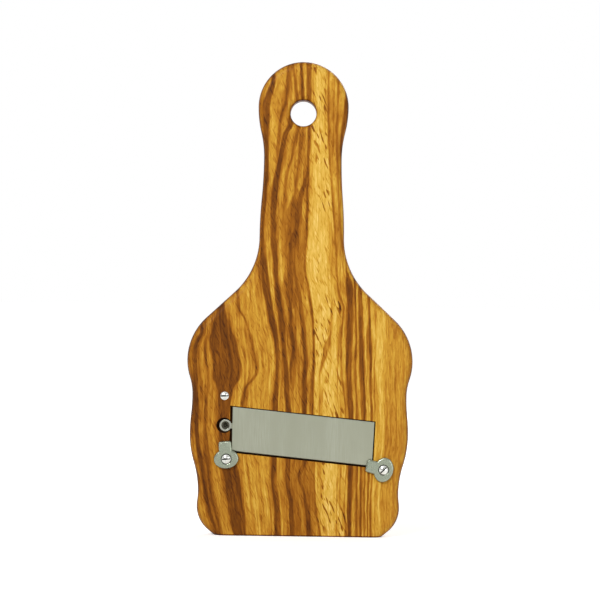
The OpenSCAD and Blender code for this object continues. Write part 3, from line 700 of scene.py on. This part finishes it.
def wave(upper, lower):
    """Two equal arcs from one turning place down to the next."""
    out, fall = lower.x - upper.x, upper.y - lower.y
    radius = (out * out + fall * fall) / (4 * abs(out))
    turn = asin(fall / 2 / radius)
    sideways = Vector((radius, 0))
    if out < 0:
        return arc_points(upper - sideways, radius, 0, -turn) + arc_points(lower + sideways, radius, pi - turn, pi)
    return arc_points(upper + sideways, radius, pi, pi + turn) + arc_points(lower - sideways, radius, turn, 0)


def board_side():
    """Points down the right side of the board."""
    hollow_mid = grip_swell + Vector((flare_in_r, 0))
    round_mid = shoulder - Vector((flare_out_r, 0))
    way = round_mid - hollow_mid
    turn = atan2(way.y, way.x) + pi / 2 + asin((flare_in_r + flare_out_r) / way.length)
    corner_end = corner_mid + corner_r * Vector((cos(corner_turn), -sin(corner_turn)))
    drop = corner_end.y + below_cut
    return (
        arc_points(handle_mid, handle_end_r, first_angle, 0)
        + wave(handle_mid + Vector((handle_end_r, 0)), grip_waist)
        + wave(grip_waist, grip_swell)
        + arc_points(hollow_mid, flare_in_r, pi, pi + turn)
        + [hollow_mid - flare_in_r * Vector((cos(turn), sin(turn)))]
        + arc_points(round_mid, flare_out_r, turn, 0)
        + wave(shoulder, side_waist) + wave(side_waist, hip) + wave(hip, foot_waist)
        + wave(foot_waist, corner_mid + Vector((corner_r, 0)))
        + arc_points(corner_mid, corner_r, 0, -corner_turn)
        + [corner_end, corner_end - drop * Vector((tan(corner_turn), 1))]
    )


def both_sides(side):
    """A right side from the top down, and its mirror image from the bottom up."""
    return side + [Vector((-p.x, p.y)) for p in reversed(side)]


board_outline = both_sides(board_side())
print("outline:", len(board_outline), "points")

# %% Board blank
board = slab("board_wood", board_outline, front_y, back_y)
bevel_where(board, lambda p: min(abs(p.y - front_y), abs(p.y - back_y)) < 0.01, edge_r, 8)
saw(board, (0, 0, 0), (0, 0, -1))
bevel_where(board, lambda p: abs(p.z) < 0.01, foot_edge, 2)
board.data.materials.append(wood)
print("blank:", len(board.data.polygons), "faces")

# %% [markdown]
# The blade's own frame
#
# The blade leans down to the right, so its recess and slot do too. The blade's hinge in the CAD model
# runs along its rounded back edge, and gives the lean. So a place on the face can be given as a
# distance along the blade and a distance up from its back edge.

# %% Places along the blade
blade_len = 65.8
blade_w = 20.6
blade_y, blade_back_y = depths("blade")
blade_t = blade_back_y - blade_y
left_rake = radians(4.9)
right_rake = radians(2.8)
hinge = next(j for j in frame["joints"] if j["name"] == "blade_tilt")
along = Vector((hinge["axis"][0], hinge["axis"][2]))
upwards = Vector((-along.y, along.x))
back_middle = Vector((hinge["pos_m"][0], hinge["pos_m"][2])) / MM - blade_t / 2 * upwards


def on_face(u, v):
    """Place on the board's face, from a place along the blade and up from its back edge."""
    return back_middle + u * along + v * upwards


def left_end(v):
    """Place along the blade of its left end, at a height up it."""
    return -blade_len / 2 - (v - blade_w / 2) * tan(left_rake)


def right_end(v):
    """Place along the blade of its right end, at a height up it."""
    return blade_len / 2 - (v - blade_w / 2) * tan(right_rake)


print("lean:", round(atan2(-along.y, along.x) * 180 / pi, 2), "degrees")

# %% Recess and slot
past = 1
floor_y = blade_back_y + 0.3
bottom_gap, top_gap, left_gap, right_gap = 0.65, 0.45, 1.2, 0.6
ledge_w = 9
slot_left_in, slot_right_in = 6.2, 5.2
slot_fall = 4
# The slot is cut from a little in front of the recess's floor
lap = 0.2

low, high = -bottom_gap, blade_w + top_gap
# The recess and the slot take the dark brown painted shade on their cut walls
carve(board, slab("recess", [
    on_face(left_end(low) - left_gap, low), on_face(left_end(high) - left_gap, high),
    on_face(right_end(high) + right_gap, high), on_face(right_end(low) + right_gap, low)],
    front_y - past, floor_y), cut_shade=recess_shade_wood)
slot_left, slot_right = left_end(blade_w / 2) + slot_left_in, right_end(blade_w / 2) - slot_right_in
slant = slot_fall / (back_y + past - floor_y)
slot_section = [(floor_y - lap, ledge_w), (floor_y, ledge_w), (back_y + past, ledge_w - slot_fall),
                (back_y + past, high - slot_fall), (floor_y - lap, high + lap * slant)]


def run_along(name, section, u0, u1):
    """A section of [depth, height up the blade] points, run along the blade."""
    places = [(on_face(u0, v), y) for y, v in section]
    return drawn_out(name, [(p.x, y, p.y) for p, y in places], (u1 - u0) * Vector((along.x, 0, along.y)))


carve(board, run_along("slot", slot_section, slot_left, slot_right), cut_shade=recess_shade_wood)

# %% Holes
hang_r, hang_rim_r, hang_drop = 6, 2.5, 24
hang_at = Vector((0, board_high.z / MM - hang_drop))
quarter = [radians(15 * k) for k in range(7)]
rim_r = hang_r + hang_rim_r
hang_profile = (
    [(0, front_y - past), (rim_r, front_y - past)]
    + [(rim_r - hang_rim_r * sin(a), front_y + hang_rim_r - hang_rim_r * cos(a)) for a in quarter]
    + [(rim_r - hang_rim_r * cos(a), back_y - hang_rim_r + hang_rim_r * sin(a)) for a in quarter]
    + [(rim_r, back_y + past), (0, back_y + past)]
)
carve(board, turned("hanging_hole", hang_profile, hang_at, 96))

adjuster_at = centre("lift_collar")
upper_screw_at = centre("bridge_screw")
left_pivot = centre("left_clip_screw")
right_pivot = centre("right_clip_screw")
collar_y, collar_back_y = depths("lift_collar")
bush_y, bush_back_y = depths("threaded_bush")
washer_y, washer_back_y = depths("right_clip_washer")
pocket_floor_y = collar_back_y + 0.3
# The pocket and the screw's way take the same painted shade on their walls
carve(board, rod("pocket", 3.6, front_y - past, pocket_floor_y, adjuster_at - Vector((0.6, 0))),
      cut_shade=recess_shade_wood)
carve(board, rod("screw_way", 2.8, pocket_floor_y - past, back_y + past, adjuster_at), cut_shade=recess_shade_wood)
carve(board, rod("bush_way", 4.3, bush_y - 0.3, back_y + past, adjuster_at))
carve(board, rod("left_hole", 1.35, front_y - past, back_y + past, left_pivot))
carve(board, rod("right_hole", 1.35, front_y - past, back_y + past, right_pivot))
carve(board, rod("nut_well", 3.5, washer_y, back_y + past, right_pivot))
sink = [(0, front_y - past), (2.05, front_y - past), (2.05, front_y), (1.1, front_y + 0.95), (1.1, back_y + past),
        (0, back_y + past)]
carve(board, turned("upper_hole", sink, upper_screw_at))
soften(board, 0.12)
finish(board, wood, "board", "board")

# %% [markdown]
# Blade
#
# The blade is a strip of stainless steel with a round back, a long bevel ground on its underside and a
# short one honed on its face, so that its cutting edge is thin. It could be a box with its edges cut
# down, but a section that is drawn once and run along the blade keeps both bevels even. Its ends are
# then sawn off a little out of square, and the tongue that the adjuster lifts is joined on.

# %% Blade
bevel_w, hone_w, edge_t = 4, 0.5, 0.1
tongue_t, tongue_w = 0.6, 2.4
adjust_out, adjust_up = 3.4, 11.7
back_r = blade_t / 2
round_back = [radians(180 + 15 * k) for k in range(13)]
blade_section = (
    [(blade_y + back_r + back_r * cos(a), back_r + back_r * sin(a)) for a in round_back]
    + [(blade_back_y, blade_w - bevel_w), (blade_y + 2 * edge_t, blade_w), (blade_y + edge_t, blade_w),
       (blade_y, blade_w - hone_w)]
)
blade = run_along("blade_plate", blade_section, -blade_len / 2 - 5, blade_len / 2 + 5)


def end_cut(end_of, out):
    """A place on an end of the blade, and the normal of the cut there."""
    low_end, high_end = on_face(end_of(0), 0), on_face(end_of(blade_w), blade_w)
    rise = (high_end - low_end).normalized()
    return (low_end.x, 0, low_end.y), out * Vector((rise.y, 0, -rise.x))


saw(blade, *end_cut(left_end, -1))
saw(blade, *end_cut(right_end, 1))


def on_sheared_edge(p):
    """Whether a point lies on the face's edge at either end of the blade."""
    offset = Vector((p.x, p.z)) - back_middle
    u, v = offset.dot(along), offset.dot(upwards)
    return abs(p.y - blade_y) < 0.01 and min(abs(u - left_end(v)), abs(u - right_end(v))) < 0.02


bevel_where(blade, on_sheared_edge, 0.18, 3)
core_r = 1.7
tongue_tip = -blade_len / 2 - adjust_out + core_r + 0.3
tongue_root = left_end(adjust_up) + 1
tongue_corners = [(tongue_tip, -1), (tongue_root, -1), (tongue_root, 1), (tongue_tip, 1)]
tongue = slab("tongue", [on_face(u, adjust_up + side * tongue_w / 2) for u, side in tongue_corners],
              blade_back_y - tongue_t, blade_back_y - 0.02)
carve(blade, tongue, "UNION")
soften(blade, 0, sharp=20)
finish(blade, brushed_steel, "blade", "blade")

# %% [markdown]
# Clips
#
# Each clip is a turn button: an oval head on a screw, with a tab that lies over the blade's corner.
# Both are punched from the same sheet and tumbled round, so one is modelled upright and copied, and
# each copy is turned about its own screw. The outline is drawn and extruded, its front edge is
# rounded, and the countersink is turned and cut out.

# %% One clip, tab up
clip_y, clip_back_y = depths("left_clip")
head_a, head_b = 5.8, 4.5
tab_w, tip_w, reach, tip_r = 6.2, 6, 8.3, 1.1
clip_edge_r = 0.8
neck_angle = acos(tab_w / 2 / head_a)
tip_corner = Vector((tip_w / 2 - tip_r, reach - tip_r))
head_turn = neck_angle + pi / 2
head_angles = [neck_angle - head_turn * i / 40.5 for i in range(41)]
clip_outline = both_sides(
    [tip_corner + tip_r * Vector((cos(radians(a)), sin(radians(a)))) for a in range(90, -1, -10)]
    + [Vector((head_a * cos(a), head_b * sin(a))) for a in head_angles]
)
clip = slab("left_clip_button", clip_outline, clip_y, clip_back_y)
bevel_where(clip, lambda p: abs(p.y - clip_y) < 0.01, clip_edge_r, 6)
bore_r, sink_r = 1.32, 2.6
clip_hole = [(0, clip_y - past), (sink_r, clip_y - past), (sink_r, clip_y), (bore_r, clip_y + sink_r - bore_r),
             (bore_r, clip_back_y + past), (0, clip_back_y + past)]
carve(clip, turned("clip_hole", clip_hole, (0, 0)))
soften(clip, 0.08)

# %% Both clips in place
use_only(clip)
bpy.ops.object.duplicate()
right_clip = bpy.context.object
right_clip.name = right_clip.data.name = "right_clip_button"
for piece, pivot, turn, name in ((clip, left_pivot, 6, "left_clip"), (right_clip, right_pivot, 75.3, "right_clip")):
    to_pivot = Matrix.Translation((pivot.x * MM, 0, pivot.y * MM))
    piece.data.transform(to_pivot @ Matrix.Rotation(radians(-turn), 4, "Y"))
    finish(piece, tumbled_steel, name, name)

# %% [markdown]
# Screws
#
# The three screws have a low domed head over a cone, and a slot for the driver. A screw is a turned
# piece, so its whole profile is spun at once, and the slot is milled out afterwards. The slots stand
# at the angles that they were left at.


# %% Domed screws
def domed_screw(name, node, at, rim_y, radii, slot_turn, body):
    """A screw whose dome meets its cone at the given depth, with a head and a shank radius."""
    head_r, shank_r = radii
    top_y, end_y = depths(node)
    dome_h = rim_y - top_y
    ball_r = (head_r ** 2 + dome_h ** 2) / (2 * dome_h)
    dome_radii = [0.97 * head_r * i / 12 for i in range(13)]
    profile = [(r, top_y + ball_r - sqrt(ball_r ** 2 - r ** 2)) for r in dome_radii]
    profile += [(head_r, rim_y), (shank_r, rim_y + head_r - shank_r), (shank_r, end_y - 0.25),
                (shank_r - 0.25, end_y), (0, end_y)]
    screw = turned(name, profile, at)
    screw.data.materials.append(nickel_plate)
    run = 1.5 * head_r * Vector((cos(radians(slot_turn)), sin(radians(slot_turn))))
    side = driver_w / 2 * Vector((-sin(radians(slot_turn)), cos(radians(slot_turn))))
    corners = [at + way for way in (run + side, -run + side, -run - side, run - side)]
    # The slot's faces take the nearly black painted shade
    carve(screw, slab("driver_slot", corners, top_y - past, top_y + driver_h), cut_shade=slot_shade)
    soften(screw, 0.05)
    finish(screw, nickel_plate, body, node)


driver_w, driver_h = 0.6, 0.6
domed_screw("left_clip_bolt", "left_clip_screw", left_pivot, clip_y, (2.1, 1.25), 6, "board")
domed_screw("right_clip_bolt", "right_clip_screw", right_pivot, clip_y, (2.1, 1.25), 45, "board")
domed_screw("bridge_bolt", "bridge_screw", upper_screw_at, front_y, (1.95, 1.0), 3, "board")

# %% [markdown]
# Nuts and washer
#
# A nut is a slice of a hexagonal bar whose corners were turned away at both faces. So a hexagon is
# extruded, and what it has in common with a turned shape with cones at its ends is kept. That gives
# the curved scallops that real nuts have on their flats.


# %% Nuts and washer
def hex_nut(name, node, at, across_flats, hole_r, turn):
    """A chamfered hexagon nut, turned by some degrees."""
    y0, y1 = depths(node)
    flat_r = across_flats / 2
    corner = flat_r / cos(pi / 6)
    rise = (corner - flat_r) * 0.6
    corner_angles = [radians(turn + 60 * k) for k in range(6)]
    nut = slab(name, [at + corner * Vector((cos(a), sin(a))) for a in corner_angles], y0, y1)
    face_r = 0.95 * flat_r
    chamfered = [(0, y0 - past), (face_r - past, y0 - past), (face_r, y0), (corner + 0.1, y0 + rise),
                 (corner + 0.1, y1 - rise), (face_r, y1), (face_r - past, y1 + past), (0, y1 + past)]
    carve(nut, turned("chamfer", chamfered, at, 96), "INTERSECT")
    carve(nut, turned("thread_hole", [
        (0, y0 - past), (hole_r + 0.3, y0 - past), (hole_r + 0.3, y0), (hole_r, y0 + 0.3), (hole_r, y1 - 0.3),
        (hole_r + 0.3, y1), (hole_r + 0.3, y1 + past), (0, y1 + past)], at))
    soften(nut, 0.05)
    finish(nut, nickel_plate, "board", node)


hex_nut("left_nut", "left_clip_nut", left_pivot, 5, 1.29, 1)
hex_nut("right_nut", "right_clip_nut", right_pivot, 5, 1.29, 2)
hex_nut("bridge_top_nut", "bridge_nut", upper_screw_at, 4, 1.04, 2)
washer_in_r, washer_out_r = 1.35, 3.2
washer = turned("right_washer", [
    (washer_in_r, washer_y), (washer_out_r, washer_y), (washer_out_r, washer_back_y),
    (washer_in_r, washer_back_y)], right_pivot)
soften(washer, 0.1)
finish(washer, nickel_plate, "board", "right_clip_washer")

# %% [markdown]
# Bridge plate
#
# The bridge is a strip of sheet steel across the adjuster, with an eye round the bush and rounded
# ends. It is drawn as one outline of arcs, in a frame of its own that leans with the line of its two
# screws. The outline is extruded, drilled and tumbled.

# %% Bridge plate
bridge_y, bridge_back_y = depths("bridge_plate")
strip_r, eye_r = 5, 7.5
bridge_up = (upper_screw_at - left_pivot).normalized()
bridge_across = Vector((bridge_up.y, -bridge_up.x))
eye_angle = asin(strip_r / eye_r)
eye_half = pi / 2 - eye_angle


def arc_of(at, radius, first, last, parts):
    """Points along an arc, with angles from the bridge's sideways direction."""
    angles = [first + (last - first) * i / parts for i in range(parts + 1)]
    return [at + radius * (cos(a) * bridge_across + sin(a) * bridge_up) for a in angles]


bridge_outline = (
    arc_of(upper_screw_at, strip_r, 0, pi, 24)
    + arc_of(adjuster_at, eye_r, pi - eye_half, pi + eye_half, 16)
    + arc_of(left_pivot, strip_r, pi, 2 * pi, 24)
    + arc_of(adjuster_at, eye_r, -eye_half, eye_half, 16)
)
bridge = slab("bridge_strip", bridge_outline, bridge_y, bridge_back_y)
carve(bridge, rod("bush_hole", 4.04, bridge_y - past, bridge_back_y + past, adjuster_at))
carve(bridge, rod("upper_hole", 1.1, bridge_y - past, bridge_back_y + past, upper_screw_at))
carve(bridge, rod("lower_hole", 1.35, bridge_y - past, bridge_back_y + past, left_pivot))
soften(bridge, 0.25, 3)
finish(bridge, sheet_steel, "board", "bridge_plate")

# %% [markdown]
# Adjuster
#
# The knob turns the adjusting screw in the brass bush, and the screw's nose turns in the collar, whose
# groove lifts the blade's tongue. These are lathe work, so each is one profile that is spun. The
# thread is drawn as rings with the real pitch, because only its edges show between bush and knob. The
# knob's flutes run straight along it. They are drawn in its outline, which is extruded in three steps
# and scaled at each, so that both ends get a chamfer. The dish in its end is turned and cut out.

# %% Bush, collar and adjusting screw
bush = turned("bush_flanged", [
    (2.57, bush_y), (4, bush_y), (4, bridge_back_y), (5.5, bridge_back_y), (5.5, bush_back_y),
    (2.57, bush_back_y)], adjuster_at)
soften(bush, 0.15)
finish(bush, turned_brass, "board", "threaded_bush")

collar_r, flange_t, nose_bore_r, rivet_r, rivet_sink = 2.75, 0.6, 1.07, 1.9, 0.63
collar = turned("collar_grooved", [
    (rivet_r + 0.07, collar_y), (collar_r, collar_y), (collar_r, collar_y + flange_t), (core_r, collar_y + flange_t),
    (core_r, collar_back_y - flange_t), (collar_r, collar_back_y - flange_t), (collar_r, collar_back_y),
    (nose_bore_r, collar_back_y), (nose_bore_r, collar_y + rivet_sink + 0.07)], adjuster_at)
soften(collar, 0.08)
finish(collar, turned_steel, "lift_collar", "lift_collar")

thread_r, thread_depth, pitch, tail_r = 2.5, 0.43, 0.8, 1.95
thread_y = collar_back_y + 0.07
neck_y, knob_end_y = depths("knob")
tail_y = depths("adjusting_screw")[1]
turns = int((neck_y - thread_y) / pitch)
ridges = [(thread_r - thread_depth * (i % 2), thread_y + (i + 1) * pitch / 2) for i in range(2 * turns - 1)]
screw = turned("adjuster_screw", (
    [(0, collar_y + 1.26), (0.2, collar_y + 1.26), (rivet_r - 0.2, collar_y), (rivet_r, collar_y),
     (1, collar_y + rivet_sink), (1, thread_y), (thread_r - thread_depth, thread_y)]
    + ridges
    + [(thread_r - thread_depth, neck_y), (tail_r, neck_y), (tail_r, tail_y - 0.3), (tail_r - 0.3, tail_y),
       (0, tail_y)]), adjuster_at)
soften(screw, 0)
finish(screw, blackened_steel, "knob", "adjusting_screw")

# %% Knob
knob_r, neck_r, neck_len, flutes, flute_r = 7.5, 4.5, 1.5, 24, 0.8
chamfer, dish_h = 0.6, 0.8
knob_y = neck_y + neck_len
flute_out = knob_r + flute_r / 2
land_angle = acos((knob_r ** 2 + flute_out ** 2 - flute_r ** 2) / (2 * knob_r * flute_out))
flute_rim = knob_r * Vector((cos(land_angle), sin(land_angle))) - Vector((flute_out, 0))
flute_half = pi - atan2(flute_rim.y, flute_rim.x)


def flute_points(at_angle):
    """Points along one flute and the land beside it, anticlockwise round the knob."""
    way = Vector((cos(at_angle), sin(at_angle)))
    flute_angles = [at_angle + pi + flute_half * (1 - i / 4) for i in range(9)]
    flute = [flute_out * way + flute_r * Vector((cos(a), sin(a))) for a in flute_angles]
    land_mid = at_angle + pi / flutes
    return flute + [knob_r * Vector((cos(land_mid), sin(land_mid)))]


knob_outline = [p for k in range(flutes) for p in flute_points(2 * pi * k / flutes)]
less = 1 - chamfer / knob_r
knob = ring_of_points("knob_fluted", [
    (adjuster_at.x + less * p.x, knob_y, adjuster_at.y + less * p.y) for p in knob_outline], "NGON")
bpy.ops.object.mode_set(mode="EDIT")
bpy.ops.mesh.select_all(action="SELECT")
for depth, scale in ((chamfer, 1 / less), (knob_end_y - knob_y - 2 * chamfer, 1), (chamfer, less)):
    bpy.ops.mesh.extrude_region_move(TRANSFORM_OT_translate={"value": (0, depth * MM, 0)})
    bpy.ops.transform.resize(value=(scale, 1, scale), center_override=(adjuster_at.x * MM, 0, adjuster_at.y * MM))
close_up()
dish = [(0, knob_end_y - dish_h), (knob_r - 4 * chamfer, knob_end_y - dish_h), (knob_r - 3 * chamfer, knob_end_y),
        (knob_r - 3 * chamfer, knob_end_y + past), (0, knob_end_y + past)]
carve(knob, turned("dish", dish, adjuster_at, 96))
carve(knob, rod("neck", neck_r, neck_y, knob_y + past, adjuster_at), "UNION")
carve(knob, rod("tail_hole", 2, neck_y - past, knob_end_y + past, adjuster_at))
soften(knob, 0.1)
finish(knob, fluted_metal, "knob", "knob")
